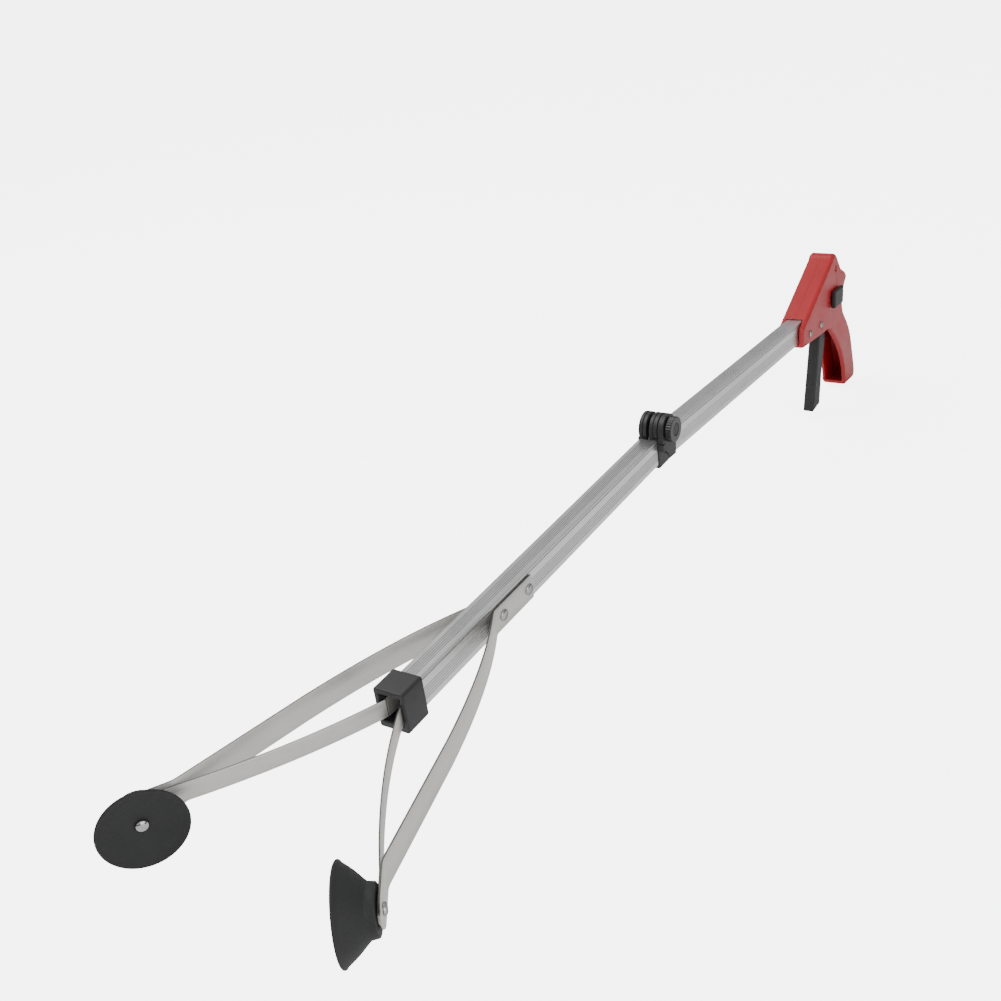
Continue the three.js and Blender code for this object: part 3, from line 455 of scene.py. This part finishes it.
def ribbon(name, line, kind, side, start_round=0.0, end_round=0.0, offset=0.0):
    """A bent strip standing on edge, drawn in plan from NOSE for the left side. Its brushing runs
    along its length, so it carries a map of (distance along, height)."""
    half = kind["thickness"] / 2
    points = []
    lengthways = []
    rows = stations(line, kind["half"], start_round, end_round)
    total = line_length(line)
    for s, height in rows:
        place, _ = at(line, s)
        _, before = at(line, max(s - 0.02, 0))
        _, after = at(line, min(s + 0.02, total))
        along = (before + after).normalized()
        across = Vector((-along.y, along.x))
        flat = half - STRIP_CHAMFER
        shoulder = height - min(STRIP_CHAMFER, height / 2)
        section = [
            (half, shoulder),
            (flat, height),
            (-flat, height),
            (-half, shoulder),
            (-half, -shoulder),
            (-flat, -height),
            (flat, -height),
            (half, -shoulder),
        ]
        for out, up in section:
            plan = place + across * out
            points.append(NOSE + Vector((plan.x, side * plan.y, STRIP_Z + up)))
            lengthways.append(((s + offset) * MM, (up + out) * MM))
    count = len(section)
    faces = [list(range(count))]
    for k in range(len(rows) - 1):
        for i in range(count):
            j = (i + 1) % count
            faces.append([k * count + i, k * count + j, (k + 1) * count + j, (k + 1) * count + i])
    faces.append([(len(rows) - 1) * count + i for i in reversed(range(count))])
    piece = add_piece(name, points, faces, "strip", angle=50)
    # painted shadow: faces on the strip's top and bottom edges take the near-black edge finish
    piece.data.materials.append(LOOKS["strip_edge_painted_shadow"])
    for face in piece.data.polygons:
        if abs(face.normal.z) > 0.5:
            face.material_index = 1
    layer = piece.data.uv_layers.new(name="lengthways")
    for loop in piece.data.loops:
        layer.data[loop.index].uv = lengthways[loop.vertex_index]
    return piece


# The outer arm: flat on the tube, sprung out in a curve, straight, then bent to the cup.
ARM_BACK = Vector((-103.8, 7.05))
ARM_BEND = Vector((-65.8, 7.05))
ARM_CONTROL = Vector((-25.5, 28.4))
ARM_STRAIGHT = Vector((30, 42.3))
ARM_TAB_BEND = tab_point(-18, 0)
ARM_END = tab_point(ARM["end"] + ARM["half"], 0)
ARM_SPLIT_X = 17.5


def arm_line():
    bend = with_rounded_corner(ARM_BACK, ARM_BEND, ARM_CONTROL, 1.5)
    curve = quadratic(bend[-1], ARM_CONTROL, ARM_STRAIGHT, 36)[1:]
    straight = [ARM_STRAIGHT.lerp(ARM_TAB_BEND, i / 24) for i in range(24)]
    tab = with_rounded_corner(ARM_STRAIGHT, ARM_TAB_BEND, ARM_END, 2.5)
    return [ARM_BACK, *bend, *curve, *straight, *tab, ARM_END]


def split_line(line, x):
    """The two halves of a line that runs forward, cut at a place."""
    for i, (a, b) in enumerate(zip(line, line[1:])):
        if b.x >= x:
            cut = a.lerp(b, (x - a.x) / (b.x - a.x))
            return [*line[: i + 1], cut], [cut, *line[i + 1 :]]
    return line, []


def outer_arm(side_name):
    side = SIDES[side_name]
    rear, front = split_line(arm_line(), ARM_SPLIT_X)
    root = ribbon(f"{side_name}_arm_rear_ribbon", rear, ARM, side, start_round=0.8)
    tip = ribbon(
        f"{side_name}_arm_front_ribbon",
        front,
        ARM,
        side,
        end_round=ARM["half"],
        offset=line_length(rear),
    )
    middle_body = f"{side_name}_arm_middle_body"
    bends = [
        (root, "rear", "front_half", middle_body),
        (tip, "front", middle_body, f"{side_name}_arm_tip_body"),
    ]
    for piece, place, from_body, to_body in bends:
        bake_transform(piece)
    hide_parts(f"{side_name}_arm_root", f"{side_name}_arm_middle")
    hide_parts(f"{side_name}_arm_tip")


# The inner strip: from the mouth of the nose cap in a shallow curve to the back of the cup.
INNER_REAR = Vector((14, 4.7))
INNER_CONTROL = Vector((59.2, 24.3))
INNER_BEND = tab_point(-14.9, INNER_LAYER)
INNER_END = tab_point(INNER["end"] + INNER["half"], INNER_LAYER)


def inner_strip(side_name):
    side = SIDES[side_name]
    bend = with_rounded_corner(INNER_CONTROL, INNER_BEND, INNER_END, 2)
    curve = quadratic(INNER_REAR, INNER_CONTROL, bend[0], 40)
    line = [*curve, *bend, INNER_END]
    piece = ribbon(f"{side_name}_inner_ribbon", line, INNER, side, end_round=INNER["half"])
    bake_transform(piece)
    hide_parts(f"{side_name}_inner_strip", f"{side_name}_inner_strip_end")


# ------------------------------------------------------------------ cups and rivets

CUP_FACE = 11.5                       # height of the middle of the cup's face
CUP_HOLE = 2.1


def cup_place(side, inward):
    plan = tab_point(0, inward)
    return NOSE + Vector((plan.x, side * plan.y, STRIP_Z))


def cup_axis(side):
    return Vector((math.sin(TAB_ANGLE), -side * math.cos(TAB_ANGLE), 0))


def suction_cup(side_name):
    side = SIDES[side_name]
    neck = [(10.2, 0), *arc((10.2, 0.5), 0.5, -90, 0, 4)[1:], (10.95, 2.2), (11.15, 3.6)]
    flare = [(11.5, 4), (12.8, 5.4), (14.4, 7), (15.9, 8.6), (17.3, 10.3), (18.5, 11.9), (19.6, 13.4)]
    rim = arc((20.0, 14.4), 0.6, -30, 120, 6)
    face = [(18.9, 14.55), (17.2, 14), (14.5, 13.3), (11.5, 12.6), (8.4, 12), (5.2, 11.6), (3.9, CUP_FACE)]
    profile = [(CUP_HOLE, 0), *neck, *flare, *rim, *face, (CUP_HOLE, CUP_FACE)]
    piece = lathe(
        f"{side_name}_cup",
        profile,
        cup_place(side, CUP_LAYER),
        cup_axis(side),
        "rubber",
        steps=96,
        angle=38,
    )
    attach(piece, f"{side_name}_arm_tip_body")
    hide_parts(f"{side_name}_suction_cup")


RIVET_SHANK = 1.6


def rivet_profile(head, dome, grip, tail, tail_length):
    """A domed rivet with its head standing on height 0 and its upset tail below the grip."""
    lip = 0.25
    foot = -grip - tail_length
    points = [(0, foot - 0.25), (tail - 0.5, foot - 0.1), (tail, foot + 0.4), (tail, -grip)]
    points += [(RIVET_SHANK, -grip), (RIVET_SHANK, 0), (head - 0.1, 0), (head, lip * 0.5)]
    steps = 8
    for i in range(steps + 1):
        a = math.pi / 2 * i / steps
        points.append((head * math.cos(a), lip + (dome - lip) * math.sin(a)))
    points[-1] = (0, dome)
    return points


def add_rivet(node, profile, origin, axis):
    piece = lathe(f"{node}_domed", profile, origin, axis, "rivet", steps=40, angle=45)
    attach(piece, frame["nodes"][node]["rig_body"])
    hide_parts(node)


def rear_half_point(x, y, z):
    """A point measured from the hinge pin in the rear half's axes."""
    return HINGE + Matrix.Rotation(-SAG, 3, "Y") @ Vector((x, y, z))


ARM_RIVETS = {"rear": -99.7, "front": -73.8}
SHELL_RIVETS = {"front": (-17.5, -4.2), "rear": (-43.8, -4.6)}
HANDLE = (-250.6, -14.3)              # handle's front face and the rear tube's axis, from the pin
HANDLE_HALF = 10.6


def rivets(side_name):
    side = SIDES[side_name]
    out = Vector((0, side, 0))
    arm = rivet_profile(head=3.25, dome=1.5, grip=2.6, tail=2.3, tail_length=1.8)
    for place, x in ARM_RIVETS.items():
        add_rivet(f"{side_name}_arm_rivet_{place}", arm, NOSE + Vector((x, side * 7.55, STRIP_Z)), out)
    shell = rivet_profile(head=3, dome=1.4, grip=5.75, tail=2.2, tail_length=1.6)
    for place, (x, z) in SHELL_RIVETS.items():
        origin = rear_half_point(HANDLE[0] + x, side * (HANDLE_HALF + 0.1), HANDLE[1] + z)
        add_rivet(f"{side_name}_shell_rivet_{place}", shell, origin, out)
    cup_seat = CUP_LAYER + CUP_FACE
    cup = rivet_profile(head=3.15, dome=1.7, grip=cup_seat + 1, tail=2.6, tail_length=1.1)
    add_rivet(f"{side_name}_cup_rivet", cup, cup_place(side, cup_seat + 0.3), cup_axis(side))


for name in SIDES:
    outer_arm(name)
    inner_strip(name)
    suction_cup(name)
    rivets(name)

# ------------------------------------------------------------------ cable over the pin, and spring


def sweep(name, path, radius, look, sides=10):
    """A round wire along a path in the part's frame. The path never runs along Y."""
    points = []
    for i, place in enumerate(path):
        along = (path[min(i + 1, len(path) - 1)] - path[max(i - 1, 0)]).normalized()
        across = along.cross(Vector((0, 1, 0))).normalized()
        up = along.cross(across)
        for k in range(sides):
            a = 2 * math.pi * k / sides
            points.append(place + (across * math.cos(a) + up * math.sin(a)) * radius)
    faces = [list(range(sides)), [(len(path) - 1) * sides + k for k in reversed(range(sides))]]
    for i in range(len(path) - 1):
        for k in range(sides):
            j = (k + 1) % sides
            faces.append(
                [i * sides + k, i * sides + j, (i + 1) * sides + j, (i + 1) * sides + k]
            )
    return add_piece(name, points, faces, look, angle=60)


def through(knots, steps=6):
    """A smooth path through points."""
    path = []
    for i in range(len(knots) - 1):
        before = knots[max(i - 1, 0)]
        after = knots[min(i + 2, len(knots) - 1)]
        leave = (knots[i + 1] - before) / 2
        arrive = (after - knots[i]) / 2
        for k in range(steps):
            t = k / steps
            path.append(
                knots[i] * (2 * t**3 - 3 * t**2 + 1)
                + leave * (t**3 - 2 * t**2 + t)
                + knots[i + 1] * (3 * t**2 - 2 * t**3)
                + arrive * (t**3 - t**2)
            )
    return [*path, knots[-1]]


CABLE_RADIUS = 0.8
CABLE_LOW = Vector((0, -0.1, -13.5))  # the cable's place in the front tube, from the pin
CABLE_OVER = Vector((0, -0.1, 3.3))   # and on top of the pin
CABLE_BEND_FRONT = 25                 # where the cable starts to rise, in front of the pin
CABLE_BEND_END = 40


def hinge_cable():
    """The cable's bend over the pin, and the straight length in front of it, which rides on the front
    half.
    In the real grabber the bend folds with the hinge and the straight length shortens as the trigger
    pulls the cable towards the handle."""
    down = Matrix.Rotation(-SAG, 3, "Y")
    rear_low = CABLE_LOW + Vector((0, 0, -3))
    knots = [
        CABLE_LOW + Vector((CABLE_BEND_FRONT, 0, 0)),
        CABLE_LOW + Vector((18, 0, 1.6)),
        CABLE_LOW + Vector((9, 0, 6.6)),
        CABLE_OVER + Vector((4, 0, -2.4)),
        CABLE_OVER,
        CABLE_OVER + Vector((-4, 0, -2.4)),
        CABLE_LOW + Vector((-9.5, 0, 6.4)),
        CABLE_LOW + Vector((-18, 0, 1.6)),
        down @ (rear_low + Vector((-30, 0, 0.6))),
        down @ (rear_low + Vector((-CABLE_BEND_END, 0, 0))),
    ]
    bend = sweep("cable_over_pin", [HINGE + p for p in through(knots)], CABLE_RADIUS, "cable")
    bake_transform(bend)
    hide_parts("hinge_cable")

    base = HINGE + CABLE_LOW + Vector((CABLE_BEND_FRONT, 0, 0))
    length = CABLE_BEND_END - CABLE_BEND_FRONT
    ends = [base + Vector((length * i / 8, 0, 0)) for i in range(9)]
    straight = sweep("cable_pulled_length", ends, CABLE_RADIUS, "cable")
    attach(straight, "front_half")
    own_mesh(straight)


SPRING_Y = (7.25, 12.25)              # ends of the spring's wire, from the pin's middle plane
SPRING_RADIUS = 3.05
SPRING_WIRE = 0.35


def knob_spring():
    """The spring in the knob's bore. Its outer end bears on the pin's head."""
    turns = 4
    steps = 24 * turns
    path = []
    for i in range(steps + 1):
        a = 2 * math.pi * turns * i / steps
        y = SPRING_Y[0] + (SPRING_Y[1] - SPRING_Y[0]) * i / steps
        path.append(HINGE + Vector((SPRING_RADIUS * math.cos(a), y, SPRING_RADIUS * math.sin(a))))
    piece = sweep("knob_return_spring", path, SPRING_WIRE, "cable")
    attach(piece, "front_half")
    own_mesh(piece)
    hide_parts("knob_spring")


hinge_cable()
knob_spring()

# ------------------------------------------------------------------ moulded and extruded parts

TUBE_HALF_WIDTH = 6.35
TUBE_HALF_HEIGHT = 9
CORNER_GROOVE = 2                     # how far below the tube's top the groove in its side lies


def is_sunk(depth):
    """Whether a face at a depth below the tube's surface is a wall of a groove."""
    return 0.08 < depth < 0.6


def paint_shade_in_grooves(piece, axis_height, fine_grooves):
    """Paints shade into the grooves of a tube: their walls get darker finishes that stand for the shade
    in them. The axis height is a function that gives a place's height above the tube's axis."""
    piece.data.materials.append(LOOKS["corner_groove_painted_shade"])
    piece.data.materials.append(LOOKS["groove"])
    for face in piece.data.polygons:
        place = face.center / MM
        below_side = TUBE_HALF_WIDTH - abs(place.y)
        below_top = TUBE_HALF_HEIGHT - axis_height(place)
        # painted shade: the groove below the top corner takes the near-black finish, a painted dark line
        if is_sunk(below_side) and abs(below_top - CORNER_GROOVE) < 0.5:
            face.material_index = 1
            continue
        in_side = is_sunk(below_side) and 3 < below_top < 2 * TUBE_HALF_HEIGHT - 2
        in_top = is_sunk(below_top) and below_side > 2
        # painted shade: the walls of the fine grooves take the darker groove finish
        if fine_grooves and (in_side or in_top):
            face.material_index = 2


def above_front_axis(place):
    return place.z - NOSE.z


def above_rear_axis(place):
    from_pin = Matrix.Rotation(SAG, 3, "Y") @ (place - HINGE)
    return from_pin.z - HANDLE[1]


paint_shade_in_grooves(soften("front_tube", "front_tube", 0.06, 2), above_front_axis, True)
paint_shade_in_grooves(soften("rear_tube", "rear_tube", 0.06, 2), above_rear_axis, False)
soften("nose_cap", "plastic", 0.7)
soften("front_hinge_fitting", "plastic", 0.35)
soften("rear_hinge_fitting", "plastic", 0.35)
soften("left_handle_shell", "red", 1, parting=0.2)
soften("right_handle_shell", "red", 1, parting=0.2)
soften("trigger", "plastic", 0.4)
soften("lock_slider", "plastic", 0.5)
soften("hinge_knob", "knob", 0.3)
soften("knob_cap", "plastic", 0.2)

CARRIED = {
    "cable": ["cable_front", "cable_rear"],
    "strip": ["left_strip_tail", "right_strip_tail"],
    "rivet": ["strip_clamp", "clamp_rivet", "hinge_pin", "cable_nipple"],
    "red": ["trigger_pin"],
}
for look, nodes in CARRIED.items():
    for node in nodes:
        paint(frame["nodes"][node], look)

# ------------------------------------------------------------------ stage, light and camera


BACKDROP_GLOW = 5                     # how bright the camera sees the floor and the sky
FLOOR_GAP = 0.002                     # metres below the object
CAMERA_PLACE = (0.5634, 0.3214, 0.3564)
CAMERA_TURN = (61.63, 7.54, 121.77)   # degrees
CAMERA_LENS = 43.16


def add_floor():
    low = min(corner.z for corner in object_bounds())
    bpy.ops.mesh.primitive_plane_add(size=60, location=(0, 0, low - FLOOR_GAP))
    floor = bpy.context.object
    floor.name = "floor"
    material = bpy.data.materials.new("pale_floor")
    material.use_nodes = True
    tree = material.node_tree
    shader = tree.nodes["Principled BSDF"]
    shader.inputs["Base Color"].default_value = (0.9, 0.9, 0.9, 1)
    shader.inputs["Roughness"].default_value = 0.8
    # The floor glows for the camera alone, so it looks like a white backdrop and lights nothing.
    ray = add_node(tree, "LightPath")
    glow = add_node(tree, "Math")
    glow.operation = "MULTIPLY"
    glow.inputs[1].default_value = BACKDROP_GLOW
    wire(tree, ray, "Is Camera Ray", glow, 0)
    shader.inputs["Emission Color"].default_value = (1, 1, 1, 1)
    wire(tree, glow, "Value", shader, "Emission Strength")
    floor.data.materials.append(material)
    floor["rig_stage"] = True


def add_light(name, location, target, size, power):
    data = bpy.data.lights.new(name, "AREA")
    data.size = size
    data.energy = power
    light = bpy.data.objects.new(name, data)
    light.location = location
    light.rotation_mode = "QUATERNION"
    light.rotation_quaternion = (Vector(target) - Vector(location)).to_track_quat("-Z", "Y")
    bpy.context.scene.collection.objects.link(light)


def add_world():
    """A soft studio sky, bright overhead and dim at the horizon, so that metal shows its form. The
    camera sees a plain pale backdrop in its place."""
    world = bpy.data.worlds.new("studio")
    world.use_nodes = True
    tree = world.node_tree
    place = add_node(tree, "TexCoord")
    split = add_node(tree, "SeparateXYZ")
    wire(tree, place, "Generated", split, "Vector")
    sky = add_node(tree, "ValToRGB")
    horizon, overhead = sky.color_ramp.elements
    horizon.position = 0.1
    horizon.color = (0.03, 0.03, 0.03, 1)
    overhead.position = 0.3
    overhead.color = (1, 1, 1, 1)
    wire(tree, split, "Z", sky, "Fac")
    background = tree.nodes["Background"]
    wire(tree, sky, "Color", background, "Color")
    background.inputs["Strength"].default_value = 0.62

    backdrop = add_node(tree, "Background", Color=(1, 1, 1, 1), Strength=BACKDROP_GLOW)
    ray = add_node(tree, "LightPath")
    seen = add_node(tree, "MixShader")
    wire(tree, ray, "Is Camera Ray", seen, 0)
    wire(tree, background, "Background", seen, 1)
    wire(tree, backdrop, "Background", seen, 2)
    wire(tree, seen, "Shader", tree.nodes["World Output"], "Surface")
    bpy.context.scene.world = world


def add_camera():
    data = bpy.data.cameras.new("camera")
    data.sensor_width = 36
    data.lens = CAMERA_LENS
    data.clip_start = 0.02
    data.clip_end = 50
    camera = bpy.data.objects.new("camera", data)
    camera.location = CAMERA_PLACE
    camera.rotation_euler = [math.radians(a) for a in CAMERA_TURN]
    bpy.context.scene.collection.objects.link(camera)
    bpy.context.scene.camera = camera


add_floor()
add_world()
add_light("key", (0.1, -0.9, 1.4), (0.1, 0, 0), 1.2, 22)
add_light("side", (0.7, 1.3, 0.6), (0, 0, 0), 1.4, 12)
add_camera()
